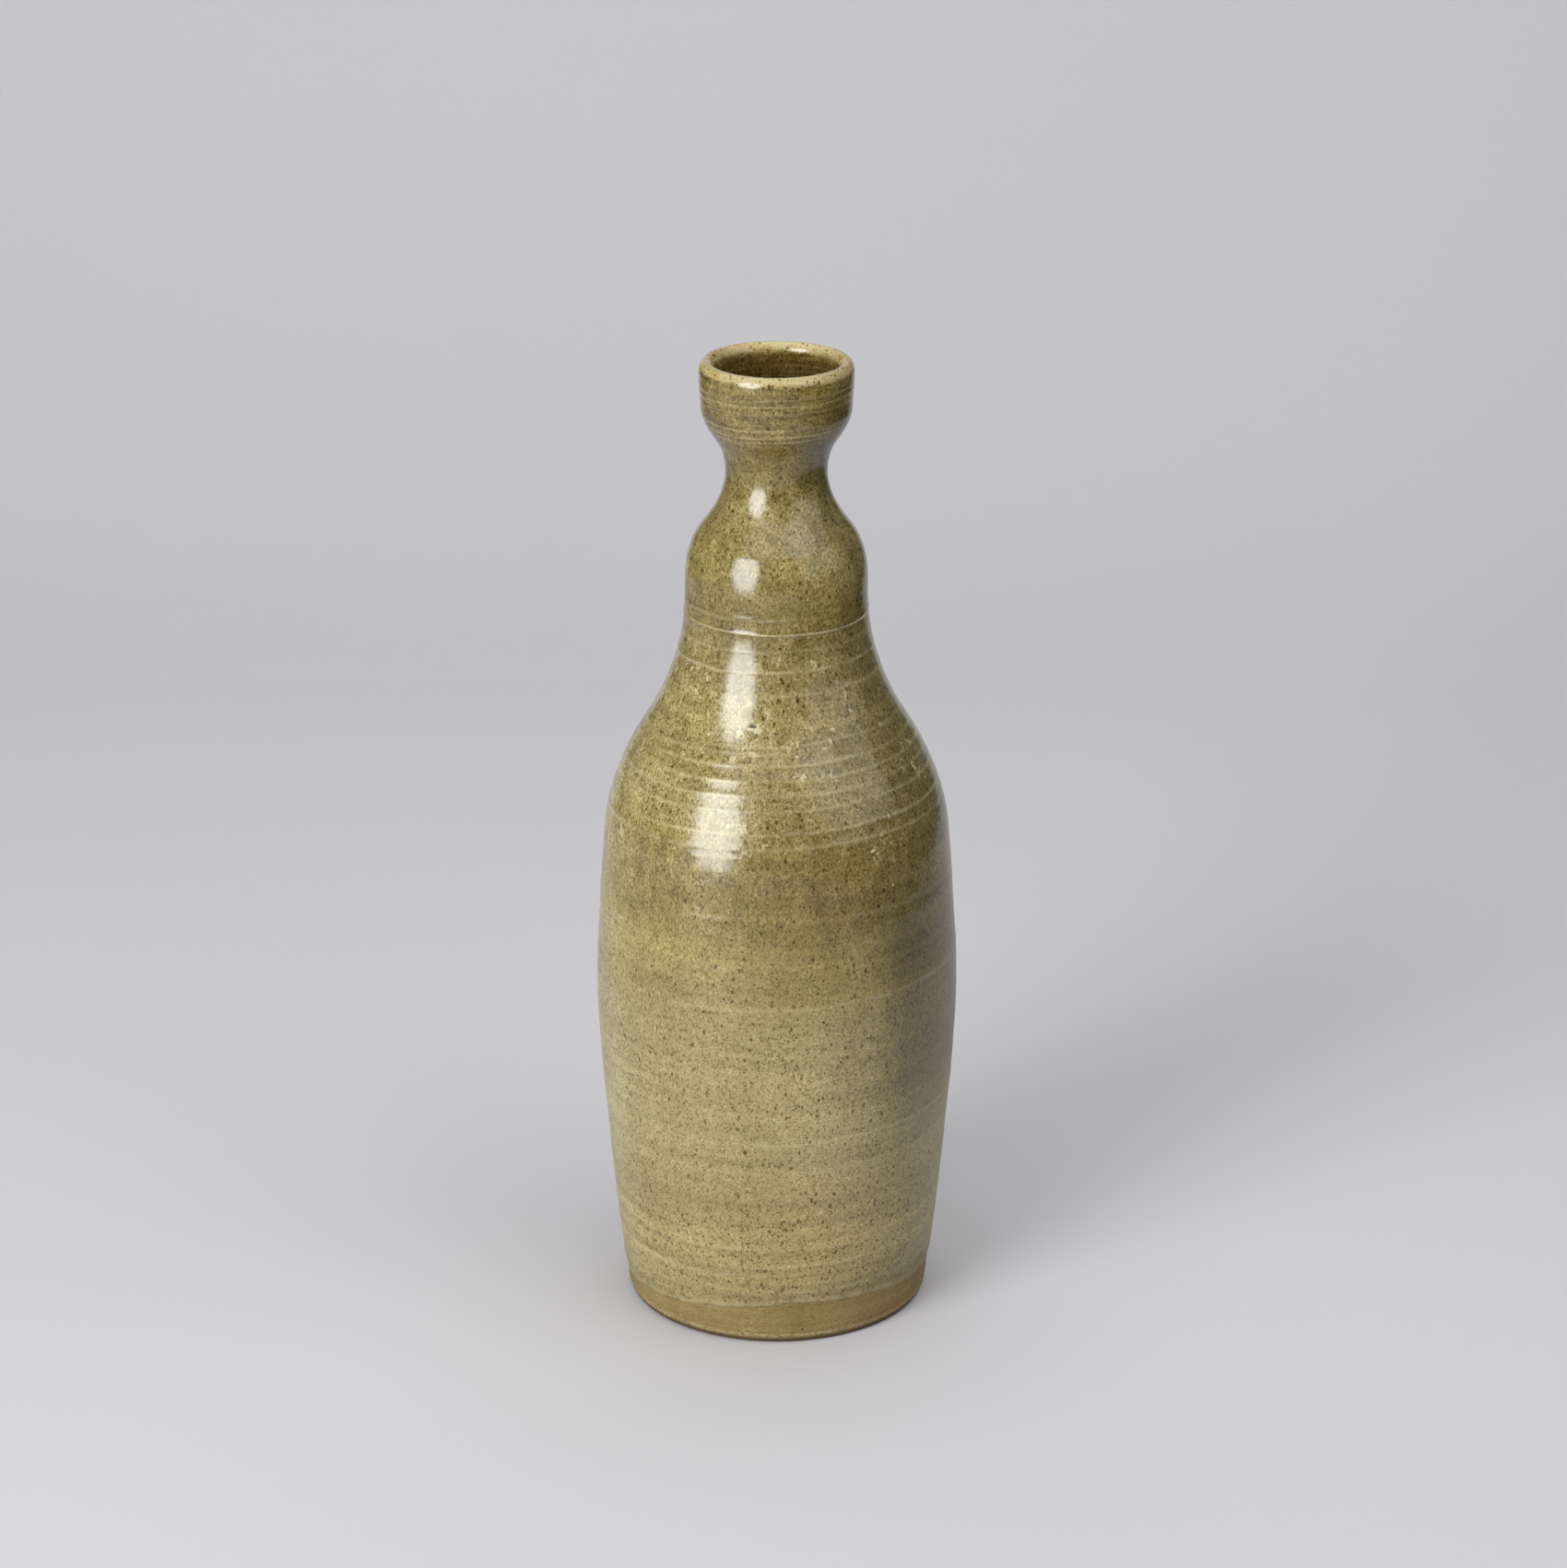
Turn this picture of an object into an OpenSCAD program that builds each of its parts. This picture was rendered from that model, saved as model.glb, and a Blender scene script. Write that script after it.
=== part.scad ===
// Wheel-thrown stoneware sake bottle under an ash glaze.
// Millimetres, +Z up. The origin is the centre of the foot, on the plane it stands on.
// The clay's outline runs through named stations. Each station has a height, a radius
// and a slope, and a cubic curve joins it to the next one.

/* [Overall] */
// Height from the resting plane to the crest of the glazed lip
bottle_h = 250; // [246:1:256]
// Thickness of the fired glaze, on the outside and inside
glaze_t = 0.5; // [0.3:0.1:0.8]

/* [Foot] */
// Diameter of the bare clay at the resting plane
foot_d = 77.5; // [74:0.5:81]
// Rounded-off lower edge of the foot
foot_bevel = 0.8; // [0.4:0.1:1.5]
// Width of the ring that the bottle stands on
foot_ring_w = 11; // [8:0.5:16]
// Depth of the shallow turned hollow inside that ring
foot_hollow = 1.2; // [0.6:0.1:2]

/* [Body] */
// Diameter of the lower wall
wall_d = 83.8; // [80:0.2:88]
// Height of the lower wall's station
wall_z = 30; // [25:1:36]
// Diameter at the widest part of the belly
belly_d = 91.3; // [88:0.1:96]
// Height of the widest part of the belly
belly_z = 86; // [80:1:92]
// Diameter where the wall turns into the shoulder
shoulder_d = 86.8; // [84:0.1:90]
// Height where the wall turns into the shoulder
shoulder_z = 126; // [122:1:130]
// Diameter halfway up the sloping shoulder
slope_d = 65.9; // [62:0.1:70]
// Height halfway up the sloping shoulder
slope_z = 156; // [153:1:159]

/* [Neck] */
// Diameter where the shoulder runs out under the bulge
bulge_base_d = 47.3; // [46:0.1:50]
// Height where the shoulder runs out under the bulge
bulge_base_z = 178; // [175:1:181]
// Diameter of the bulge
bulge_d = 44.4; // [42:0.1:46]
// Height of the bulge's upright part
bulge_z = 194; // [191:1:197]
// Diameter on the steep slope above the bulge
neck_d = 35.4; // [33:0.1:38]
// Height on the steep slope above the bulge
neck_z = 208; // [206:1:210]
// Diameter of the narrow waist
waist_d = 24.2; // [22:0.1:27]
// Height of the narrow waist
waist_z = 222; // [220:1:224]

/* [Mouth] */
// Diameter halfway up the underside of the cup-shaped mouth
cup_base_d = 30; // [28:0.1:32]
// Height halfway up the underside of the mouth
cup_base_z = 231; // [229:1:233]
// Diameter where the mouth turns upright
cup_d = 36.5; // [35:0.1:38]
// Height where the mouth turns upright
cup_z = 239; // [237:1:241]
// Diameter of the lip
lip_d = 37.2; // [36:0.1:39]
// Height of the rounded top of the clay lip
lip_rise = 2.1; // [1.2:0.1:2.8]

/* [Walls] */
// Thickness of the clay wall at the foot
foot_wall = 5.5; // [4.5:0.1:7]
// Thickness of the clay wall at the lip
lip_wall = 2.7; // [2.2:0.1:3.4]
// Thickness of the clay floor
floor_t = 6.5; // [5:0.1:8]
// Radius between the floor and the wall, inside
floor_round = 12; // [8:1:14]

/* [Glaze line] */
// Height of the glaze's lower edge on the bottle's axis
glaze_line_z = 8; // [7:0.5:12]
// Tilt of that edge, from dipping the bottle at an angle
glaze_tilt = 4.7; // [0:0.1:6]
// Direction of the edge's highest point, turned from the front
glaze_tilt_dir = 17; // [0:1:359]

/* [Hidden] */
$fn = 96;

// Points along the outline between two stations, round the lip and round the floor's edge
SPAN_STEPS = 8;
LIP_STEPS = 8;
FLOOR_STEPS = 8;

// Height where the straight side of the lip ends and its rounded top begins
lip_z = bottle_h - glaze_t - lip_rise;
// Radius of the lip's crest
crest_r = (lip_d - lip_wall) / 2;
// Inside height of the bare clay floor's rounded edge
floor_edge_z = floor_t + floor_round;
// Size of the block that trims the glaze off the foot
trim_size = 2 * belly_d;

// Height, radius and slope (radius gained per millimetre of height) of each station
STATIONS = [
    [0, foot_d / 2, 0.08],
    [wall_z, wall_d / 2, 0.08],
    [belly_z, belly_d / 2, 0],
    [shoulder_z, shoulder_d / 2, -0.06],
    [slope_z, slope_d / 2, -0.64],
    [bulge_base_z, bulge_base_d / 2, -0.2],
    [bulge_z, bulge_d / 2, 0],
    [neck_z, neck_d / 2, -0.8],
    [waist_z, waist_d / 2, 0],
    [cup_base_z, cup_base_d / 2, 0.74],
    [cup_z, cup_d / 2, 0],
    [lip_z, lip_d / 2, 0]
];
SPANS = len(STATIONS) - 1;

// Heights at which the outline is drawn, from the foot to the lip
LEVELS = concat(
    [for (i = [0 : SPANS - 1], j = [0 : SPAN_STEPS - 1])
        STATIONS[i][0] + (STATIONS[i + 1][0] - STATIONS[i][0]) * j / SPAN_STEPS],
    [lip_z]
);

// The span between stations that holds height z
function span_at(z, i = 0) = i == SPANS - 1 || z < STATIONS[i + 1][0] ? i : span_at(z, i + 1);

// Radius of the clay's outside at height z
function clay_r(z) =
    let (
        a = STATIONS[span_at(z)],
        b = STATIONS[span_at(z) + 1],
        h = b[0] - a[0],
        t = (z - a[0]) / h
    )
    (2 * pow(t, 3) - 3 * pow(t, 2) + 1) * a[1]
    + (pow(t, 3) - 2 * pow(t, 2) + t) * h * a[2]
    + (3 * pow(t, 2) - 2 * pow(t, 3)) * b[1]
    + (pow(t, 3) - pow(t, 2)) * h * b[2];

// Slope of the clay's outside at height z
function clay_slope(z) =
    let (
        a = STATIONS[span_at(z)],
        b = STATIONS[span_at(z) + 1],
        h = b[0] - a[0],
        t = (z - a[0]) / h
    )
    6 * (pow(t, 2) - t) * (a[1] - b[1]) / h
    + (3 * pow(t, 2) - 4 * t + 1) * a[2]
    + (3 * pow(t, 2) - 2 * t) * b[2];

// Level distance across one millimetre of wall, measured square to the slope
function stretch(z) = sqrt(1 + pow(clay_slope(z), 2));

// Clay thickness at height z, thinner towards the lip as the wall is pulled up
function wall_t(z) = foot_wall + (lip_wall - foot_wall) * z / lip_z;

// Radius of the outside and of the cavity, with a coat of the given thickness on the clay
function outside_r(z, coat) = clay_r(z) + coat * stretch(z);
function cavity_r(z, coat) = clay_r(z) - (wall_t(z) + coat) * stretch(z);

function reversed(list) = [for (i = [len(list) - 1 : -1 : 0]) list[i]];

// An elliptical arc with its centre at the given radius and height
function arc(centre_r, centre_z, size_r, size_z, from, to, steps) =
    [for (k = [0 : steps])
        let (angle = from + (to - from) * k / steps)
        [centre_r + size_r * cos(angle), centre_z + size_z * sin(angle)]];

// The side of the bottle, upwards from the height low
function side_line(coat, low) =
    [for (z = concat([low], [for (z = LEVELS) if (z > low) z])) [outside_r(z, coat), z]];

// The rounded top of the lip: 0 degrees is its outside, 90 its crest, 180 its inside
function lip_line(coat, from, to) =
    arc(crest_r, lip_z, lip_wall / 2 + coat, lip_rise + coat, from, to, LIP_STEPS);

// The inside of the bottle, downwards from the lip to the middle of the floor
function cavity_line(coat) = concat(
    [for (z = reversed(LEVELS)) if (z > floor_edge_z) [cavity_r(z, coat), z]],
    arc(cavity_r(floor_edge_z, 0) - floor_round, floor_edge_z,
        floor_round - coat, floor_round - coat, 0, -90, FLOOR_STEPS),
    [[0, floor_t + coat]]
);

// The thrown and fired clay: wall, floor and foot in one piece
module clay_body() {
    hollow_r = foot_d / 2 - foot_ring_w;
    color("tan")
    rotate_extrude()
    polygon(concat(
        [[0, foot_hollow], [hollow_r - foot_hollow, foot_hollow], [hollow_r, 0]],
        [[foot_d / 2 - foot_bevel, 0]],
        side_line(0, foot_bevel),
        lip_line(0, 0, 180),
        cavity_line(0)
    ));
}

// The block below the tilted glaze line
module foot_trim() {
    translate([0, 0, glaze_line_z])
    rotate([-glaze_tilt, 0, glaze_tilt_dir])
    translate([-trim_size / 2, -trim_size / 2, -trim_size])
    cube(trim_size);
}

// The glaze on the outside, from above the bare foot to the crest of the lip
module outer_glaze() {
    color([0.58, 0.54, 0.36])
    difference() {
        rotate_extrude()
        polygon(concat(
            side_line(glaze_t, foot_bevel),
            lip_line(glaze_t, 0, 90),
            lip_line(0, 90, 0),
            reversed(side_line(0, foot_bevel))
        ));
        foot_trim();
    }
}

// The poured lining, from the crest of the lip down over the floor
module inner_glaze() {
    color([0.42, 0.38, 0.24])
    rotate_extrude()
    polygon(concat(
        lip_line(glaze_t, 90, 180),
        cavity_line(glaze_t),
        reversed(cavity_line(0)),
        lip_line(0, 180, 90)
    ));
}

clay_body();
outer_glaze();
inner_glaze();
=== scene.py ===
import math
import bpy
import numpy as np
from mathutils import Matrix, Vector


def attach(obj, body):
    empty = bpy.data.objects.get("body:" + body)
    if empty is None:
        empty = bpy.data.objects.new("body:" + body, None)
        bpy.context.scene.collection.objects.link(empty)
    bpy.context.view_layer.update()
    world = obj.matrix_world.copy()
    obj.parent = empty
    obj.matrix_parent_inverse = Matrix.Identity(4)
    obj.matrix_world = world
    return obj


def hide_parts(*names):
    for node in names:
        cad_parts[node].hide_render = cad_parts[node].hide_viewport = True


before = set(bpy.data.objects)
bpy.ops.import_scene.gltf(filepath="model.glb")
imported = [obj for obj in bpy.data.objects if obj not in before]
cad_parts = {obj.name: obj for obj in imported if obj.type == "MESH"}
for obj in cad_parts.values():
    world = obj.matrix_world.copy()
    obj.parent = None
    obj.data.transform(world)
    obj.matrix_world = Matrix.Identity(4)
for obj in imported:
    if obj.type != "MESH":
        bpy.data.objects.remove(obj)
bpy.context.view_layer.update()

MM = 0.001
SEED = 11

# ---------------------------------------------------------------- the bottle's outline, in millimetres
# Height, radius and slope of the bare clay's outside at each station, as in the CAD model
STATIONS = np.array([
    (0.0, 38.75, 0.08),      # foot
    (30.0, 41.9, 0.08),      # lower wall
    (86.0, 45.65, 0.0),      # belly
    (126.0, 43.4, -0.06),    # shoulder
    (156.0, 32.95, -0.64),   # middle of the sloping shoulder
    (178.0, 23.65, -0.2),    # under the bulge
    (194.0, 22.2, 0.0),      # bulge
    (208.0, 17.7, -0.8),     # neck
    (222.0, 12.1, 0.0),      # waist
    (231.0, 15.0, 0.74),     # underside of the mouth
    (239.0, 18.25, 0.0),     # mouth
    (247.4, 18.6, 0.0),      # lip
])
LIP_Z = STATIONS[-1, 0]
LIP_WALL = 2.7
LIP_HALF = LIP_WALL / 2
LIP_RISE = 2.1
CREST_R = STATIONS[-1, 1] - LIP_HALF
FOOT_WALL = 5.5
FLOOR_T = 6.5
FLOOR_ROUND = 12.0
FOOT_HOLLOW = 1.2
FOOT_RING_W = 11.0
GLAZE_T = 0.5
FOOT_R = STATIONS[0, 1]
# The hollow's edge under the foot: how far inside the foot ring, and how high
HOLLOW_EDGE = np.array([(1.6, 0.95), (0.8, 0.35), (0.0, 0.0)])
HOLLOW_FLAT = 2.4
# How far the back of each coat sinks into the clay, so that no gap shows between them
SINK = 0.02
# The rows of the wall stop this far below the lip's arc
LIP_CLEAR = 3.0
# Radius of the innermost row of a floor, round its pole
POLE_R = 1.5

# The bevel under the foot's edge
BEVEL_H = 1.8
BEVEL_W = 1.1

# The glaze's lower edge: its mean height, how far it tilts and bends, and where it is highest
EDGE_MEAN = 7.0
EDGE_TILT = 3.3
EDGE_BEND = 1.2
EDGE_AZ = math.radians(17)
# The coat thickens from EDGE_T to its full thickness over EDGE_ROLL, and its rows are evenly
# spaced again at EDGE_BLEND_TO
EDGE_ROLL = 5.0
EDGE_T = 0.05
EDGE_BLEND_TO = 32.0

# Throwing rings that stand proud: height, relief, half-width, and the side that they are on
# (0 goes all the way round, -1 is the left and +1 the right of the reference view)
RINGS = [
    (244.5, 0.05, 0.5, 0), (242.9, 0.05, 0.5, 0), (240.9, 0.04, 0.5, 0),
    (236.8, 0.04, 0.6, 0), (234.6, 0.05, 0.6, 0), (225.4, 0.05, 0.8, 0),
    (216.2, 0.04, 0.8, 0), (210.5, 0.05, 0.8, 0), (204.6, 0.05, 0.8, 0),
    (190.1, 0.07, 0.6, -1), (186.2, 0.16, 0.5, 0), (181.8, 0.04, 0.8, 0),
    (176.8, 0.096, 0.6, 0), (171.2, 0.072, 0.6, 1), (160.0, 0.048, 0.8, 1),
    (155.8, 0.048, 0.7, 0), (152.5, 0.048, 0.7, 0), (149.3, 0.048, 0.6, 0),
    (145.9, 0.042, 0.6, 0), (140.7, 0.054, 0.6, 0), (137.1, 0.06, 0.6, 0),
    (134.8, 0.048, 0.6, 0), (119.0, 0.06, 1.0, 0), (105.6, 0.06, 1.0, 0),
    (95.8, 0.09, 0.5, 1), (81.0, 0.05, 1.0, 0), (65.3, 0.06, 0.8, 0),
    (58.6, 0.09, 0.5, 1), (50.2, 0.07, 0.7, 1), (42.5, 0.05, 0.9, 0),
    (28.5, 0.1, 0.8, 0), (21.6, 0.16, 0.7, 0), (15.0, 0.08, 0.7, 0),
]
# The rings lean a little, higher towards +X
RING_LEAN = 0.03


def clay_outside(z):
    """Radius and slope of the bare clay's outside at each height: cubic curves between the stations."""
    z = np.asarray(z, float)
    i = np.clip(np.searchsorted(STATIONS[:, 0], z, side="right") - 1, 0, len(STATIONS) - 2)
    z0, r0, s0 = np.moveaxis(STATIONS[i], -1, 0)
    z1, r1, s1 = np.moveaxis(STATIONS[i + 1], -1, 0)
    h = z1 - z0
    t = (z - z0) / h
    radius = (
        (2 * t**3 - 3 * t**2 + 1) * r0
        + (t**3 - 2 * t**2 + t) * h * s0
        + (3 * t**2 - 2 * t**3) * r1
        + (t**3 - t**2) * h * s1
    )
    slope = (
        6 * (t**2 - t) * (r0 - r1) / h
        + (3 * t**2 - 4 * t + 1) * s0
        + (3 * t**2 - 2 * t) * s1
    )
    return radius, slope


def cavity(z, coat):
    """Radius of the inside, with a coat of the given thickness on the clay."""
    radius, slope = clay_outside(z)
    wall = FOOT_WALL + (LIP_WALL - FOOT_WALL) * z / LIP_Z
    return radius - (wall + coat) * np.sqrt(1 + slope**2)


# ---------------------------------------------------------------- relief of the thrown surface
def wave_sum(x, periods, seed):
    """A smooth repeatable wander made of sines with the given periods, between about -1 and 1."""
    phases = np.random.default_rng(seed).uniform(0, 2 * math.pi, len(periods))
    total = sum(np.sin(2 * math.pi * x / p + q) for p, q in zip(periods, phases))
    return total / len(periods)


def side_fade(az, side):
    """How strong a ring is at each azimuth. Azimuth 0 faces the reference view."""
    if side == 0:
        return 0.8 + 0.2 * np.cos(az + 1.0)
    return 0.5 + 0.5 * np.clip(1.6 * np.sin(side * az + 0.35), -1, 1)


def wobble(z, az):
    """How far the wall strays from round, in two and three soft lobes."""
    return 0.12 * np.cos(2 * az + 0.9 + z / 90) + 0.06 * np.cos(3 * az + z / 37)


def relief(z, az, radius):
    """Height of the thrown surface over its smooth outline: rings, soft undulation and wobble."""
    leaned = z - RING_LEAN * radius * np.sin(az) - 0.12 * np.sin(2 * az + 0.05 * z)
    total = 0.035 * wave_sum(leaned, (9.3, 6.1, 4.3, 3.1), SEED)
    total = total + 0.10 * wave_sum(leaned, (41.0, 27.0, 19.0), SEED + 1)
    for height, rise, half, side in RINGS:
        total = total + rise * np.exp(-(((leaned - height) / half) ** 2)) * side_fade(az, side)
    fade = np.clip((LIP_Z - z) / 6, 0, 1) * np.clip(z / 4, 0, 1)
    return total * fade + wobble(z, az) * np.clip(z / 20, 0, 1)


def glaze_edge(az):
    """Height of the glaze's lower edge."""
    turn = az - EDGE_AZ
    ripple = 0.35 * np.sin(5 * az + 1.1) + 0.22 * np.sin(11 * az + 0.4) + 0.12 * np.sin(23 * az)
    return EDGE_MEAN + EDGE_TILT * np.cos(turn) + EDGE_BEND * np.cos(2 * turn) + ripple


# ---------------------------------------------------------------- meshes
def rows(low, high, step, fine=0.28, reach=1.1):
    """Heights of the mesh's rows: evenly spaced, and closer together across each ring."""
    heights = list(np.arange(low, high, step))
    for height, _rise, _half, _side in RINGS:
        heights += list(np.arange(height - reach, height + reach, fine))
    heights = np.unique(np.round([h for h in heights if low <= h <= high] + [low, high], 3))
    keep = [heights[0]]
    for h in heights[1:]:
        if h - keep[-1] > 0.6 * fine:
            keep.append(h)
    keep[-1] = high
    return np.array(keep)


def arc(centre_r, centre_z, size_r, size_z, start, end, steps):
    """Points of an elliptical arc, as radius and height."""
    angle = np.radians(np.linspace(start, end, steps + 1))
    return centre_r + size_r * np.cos(angle), centre_z + size_z * np.sin(angle)


def shell(name, radii, heights, azimuths, closed, top_pole=False, bottom_pole=False):
    """A mesh round the axis from a grid of radii and heights (rows by azimuths), in millimetres.

    Its faces look away from the axis where the rows go up. A pole closes the first or the last row.
    """
    n_rows, n_az = radii.shape
    x = radii * np.sin(azimuths)
    y = -radii * np.cos(azimuths)
    points = np.stack([x, y, heights], -1).reshape(-1, 3) * MM
    last = n_rows if closed else n_rows - 1
    i, j = np.meshgrid(np.arange(last), np.arange(n_az), indexing="ij")
    a = (i * n_az + j).ravel()
    b = (i * n_az + (j + 1) % n_az).ravel()
    c = (((i + 1) % n_rows) * n_az + (j + 1) % n_az).ravel()
    d = (((i + 1) % n_rows) * n_az + j).ravel()
    faces = np.stack([a, b, c, d], -1).tolist()
    points = points.tolist()
    if bottom_pole:
        points.append((0.0, 0.0, float(heights[0].mean()) * MM))
        pole = len(points) - 1
        faces += [(pole, (k + 1) % n_az, k) for k in range(n_az)]
    if top_pole:
        points.append((0.0, 0.0, float(heights[-1].mean()) * MM))
        pole = len(points) - 1
        base = (n_rows - 1) * n_az
        faces += [(pole, base + k, base + (k + 1) % n_az) for k in range(n_az)]
    mesh = bpy.data.meshes.new(name)
    mesh.from_pydata(points, [], faces)
    mesh.validate()
    mesh.update()
    mesh.polygons.foreach_set("use_smooth", [True] * len(mesh.polygons))
    obj = bpy.data.objects.new(name, mesh)
    bpy.context.scene.collection.objects.link(obj)
    return obj


def azimuth_ring(count):
    return np.linspace(0, 2 * math.pi, count, endpoint=False)[None, :]


def pushed(z, az, amount):
    """The outside at each height, moved outwards by amount square to the slope."""
    radius, slope = clay_outside(z)
    length = np.sqrt(1 + slope**2)
    return radius + amount / length, z - amount * slope / length


def glaze_coat(segments=216):
    """The outside glaze: a closed skin from its uneven lower edge up to the crest of the lip."""
    az = azimuth_ring(segments)
    wide = np.ones_like(az)
    z = rows(0.0, LIP_Z, 1.25)[:, None]
    edge = glaze_edge(az)
    level = z + edge * np.clip(1 - z / EDGE_BLEND_TO, 0, 1)
    radius, _slope = clay_outside(level)
    into = np.clip((level - edge) / EDGE_ROLL, 0, 1)
    coat = EDGE_T + (GLAZE_T - EDGE_T) * into**2 * (3 - 2 * into)
    out_r, out_z = pushed(level, az, coat + relief(level, az, radius))
    lip_r, lip_z = arc(CREST_R, LIP_Z, LIP_HALF + GLAZE_T, LIP_RISE + GLAZE_T, 9, 90, 9)
    under_r, under_z = arc(CREST_R, LIP_Z, LIP_HALF, LIP_RISE, 90, 0, 6)
    back = np.linspace(LIP_Z - LIP_CLEAR, 0, 36)[:, None]
    back = back + edge * np.clip(1 - back / EDGE_BLEND_TO, 0, 1)
    back_r, _slope = clay_outside(back)
    in_r, in_z = pushed(back, az, relief(back, az, back_r) - SINK)
    stray = wobble(LIP_Z, az)
    radii = np.vstack([out_r, lip_r[:, None] * wide + stray, under_r[:, None] * wide + stray, in_r])
    heights = np.vstack([out_z, lip_z[:, None] * wide, under_z[:, None] * wide, in_z])
    return shell("ash_glaze_coat", radii, heights, az, closed=True)


def inside_rows(coat, wide):
    """The inside, downwards from the lip to the edge of the floor's centre."""
    corner_z = FLOOR_T + FLOOR_ROUND
    z = np.concatenate([np.arange(LIP_Z - 0.5, 200, -0.8), np.linspace(199, corner_z, 70)])
    grooves = 0.06 * wave_sum(z, (7.3, 4.9, 3.3), SEED + 5) * np.clip((LIP_Z - z) / 8, 0, 1)
    wall_r = cavity(z, coat) + grooves
    corner = cavity(corner_z, 0) - FLOOR_ROUND
    arc_r, arc_z = arc(corner, corner_z, FLOOR_ROUND - coat, FLOOR_ROUND - coat, -9, -90, 9)
    flat_r = np.linspace(corner, POLE_R, 8)[1:]
    flat_z = np.full(len(flat_r), FLOOR_T + coat)
    return (
        np.concatenate([wall_r, arc_r, flat_r])[:, None] * wide,
        np.concatenate([z, arc_z, flat_z])[:, None] * wide,
    )


def lining_glaze(segments=192):
    """The glaze inside: from the crest of the lip down over the floor, backed by the clay."""
    az = azimuth_ring(segments)
    wide = np.ones_like(az)
    stray = wobble(LIP_Z, az)
    near_r, near_z = inside_rows(GLAZE_T, wide)
    far_r, far_z = inside_rows(-SINK, wide)
    lip_r, lip_z = arc(CREST_R, LIP_Z, LIP_HALF + GLAZE_T, LIP_RISE + GLAZE_T, 90, 180, 12)
    under_r, under_z = arc(CREST_R, LIP_Z, LIP_HALF, LIP_RISE, 180, 90, 6)
    # From the pole at the back of the floor up to the lip, and down again to the floor's other pole
    radii = np.vstack([
        far_r[::-1], under_r[:, None] * wide + stray, lip_r[:, None] * wide + stray, near_r,
    ])
    heights = np.vstack([far_z[::-1], under_z[:, None] * wide, lip_z[:, None] * wide, near_z])
    return shell("lining_glaze_coat", radii, heights, az, closed=False, top_pole=True, bottom_pole=True)


def clay(segments=248):
    """The stoneware under the glaze, with its bare foot, bevelled edge and turned hollow underneath."""
    az = azimuth_ring(segments)
    wide = np.ones_like(az)
    hollow_r = FOOT_R - FOOT_RING_W
    hollow = np.linspace(POLE_R, hollow_r - HOLLOW_FLAT, 12)
    edge_r = hollow_r - HOLLOW_EDGE[:, 0]
    ring_r = np.linspace(hollow_r + 0.8, FOOT_R - BEVEL_W - 0.5, 6)
    bevel_r, bevel_z = arc(FOOT_R - BEVEL_W - 0.35, BEVEL_H, BEVEL_W + 0.35, BEVEL_H, -90, 0, 8)
    foot_r = np.concatenate([hollow, edge_r, ring_r, bevel_r])
    foot_z = np.concatenate([
        np.full(len(hollow), FOOT_HOLLOW), HOLLOW_EDGE[:, 1], np.zeros(len(ring_r)), bevel_z,
    ])
    low_z = np.arange(BEVEL_H + 0.3, 14.0, 0.3)
    high_z = np.linspace(14.6, LIP_Z - LIP_CLEAR, 60)
    z = np.concatenate([low_z, high_z])[:, None]
    base_r, _slope = clay_outside(z)
    turning = 0.018 * wave_sum(z, (1.9, 1.3, 0.9), SEED + 3) * np.clip((16 - z) / 4, 0, 1)
    out_r, out_z = pushed(z, az, relief(z, az, base_r) + turning)
    lip_r, lip_z = arc(CREST_R, LIP_Z, LIP_HALF, LIP_RISE, 0, 180, 14)
    in_r, in_z = inside_rows(0.0, wide)
    radii = np.vstack([foot_r[:, None] * wide, out_r, lip_r[:, None] * wide + wobble(LIP_Z, az), in_r])
    heights = np.vstack([foot_z[:, None] * wide, out_z, lip_z[:, None] * wide, in_z])
    return shell("stoneware_body", radii, heights, az, closed=False, top_pole=True, bottom_pole=True)


# ---------------------------------------------------------------- node graph helper
# Nearly all random greys of scattered points lie in this span, which ends at PICK_MOST
PICK_MOST = 0.85
PICK_SPAN = 0.7
# Half the width of a speck's soft edge, in millimetres
SPECK_BLUR = 0.06


def upright(share):
    """A scale that draws a pattern out up and down: height counts for only this share."""
    return (1, 1, share)


def around(share):
    """A scale that draws a pattern out round the bottle: width counts for only this share."""
    return (share, share, 1)


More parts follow.
